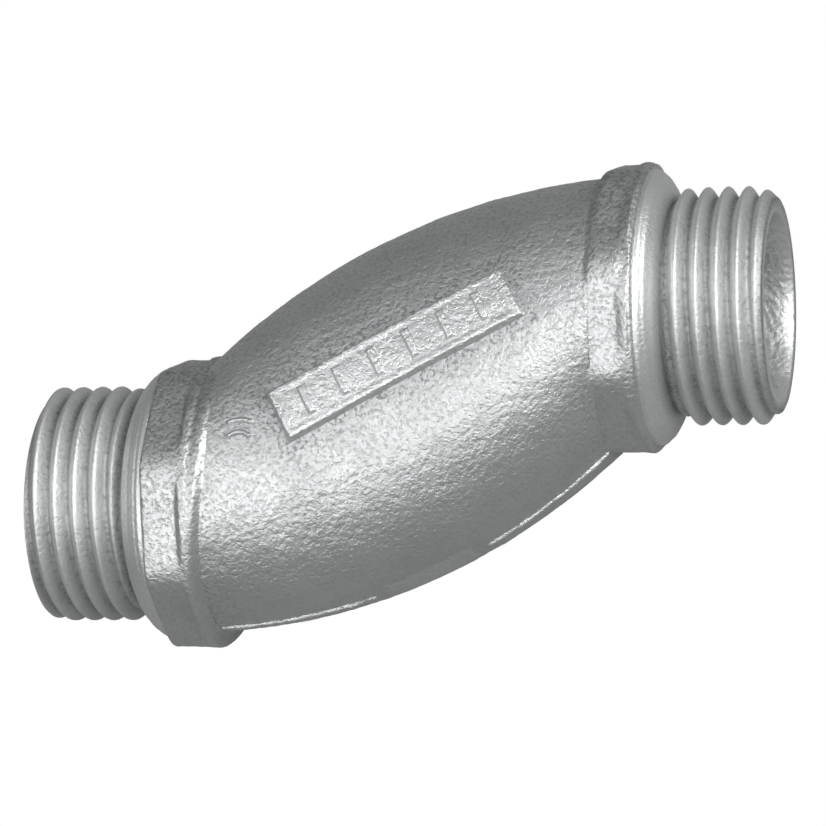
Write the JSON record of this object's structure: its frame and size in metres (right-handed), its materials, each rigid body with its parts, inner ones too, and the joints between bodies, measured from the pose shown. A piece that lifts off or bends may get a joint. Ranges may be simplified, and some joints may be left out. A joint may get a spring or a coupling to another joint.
{
  "type": "offset pipe nipple",
  "caption": "Cast, zinc-coated offset nipple: a bent tubular body with parallel offset male threads, wrench collars and a through passage.",
  "frame": {"origin": "centre of symmetry of the fitting, halfway between its two end faces and its two thread axes", "axes": "+X along both thread axes towards the right thread, +Y the way the right thread is offset, +Z square to the mould's parting plane on the side of the marking pad"},
  "size_m": [0.0654, 0.0442, 0.0274],
  "materials": {
    "cast_zinc": "zinc-coated cast iron, fine pebbled sand-cast surface",
    "turned_zinc": "turned smooth, then zinc coated, faint tool rings",
    "thread_zinc": "die-cut thread, zinc coated, satin, darker roots",
    "pad_zinc": "zinc-coated cast pad with softened edges",
    "flash_zinc": "ground and fettled mould flash, zinc coated"
  },
  "bodies": {
    "root": {"offset_barrel": "cast_zinc", "left_collar": "cast_zinc", "left_turned_shoulder": "turned_zinc", "left_thread_spigot": "thread_zinc", "right_collar": "cast_zinc", "right_turned_shoulder": "turned_zinc", "right_thread_spigot": "thread_zinc", "marking_pad": "pad_zinc", "pad_bars": "pad_zinc", "cavity_pips": "cast_zinc", "parting_rib_front": "flash_zinc", "parting_rib_back": "flash_zinc", "gate_stub": "flash_zinc"}
  },
  "joints": []
}
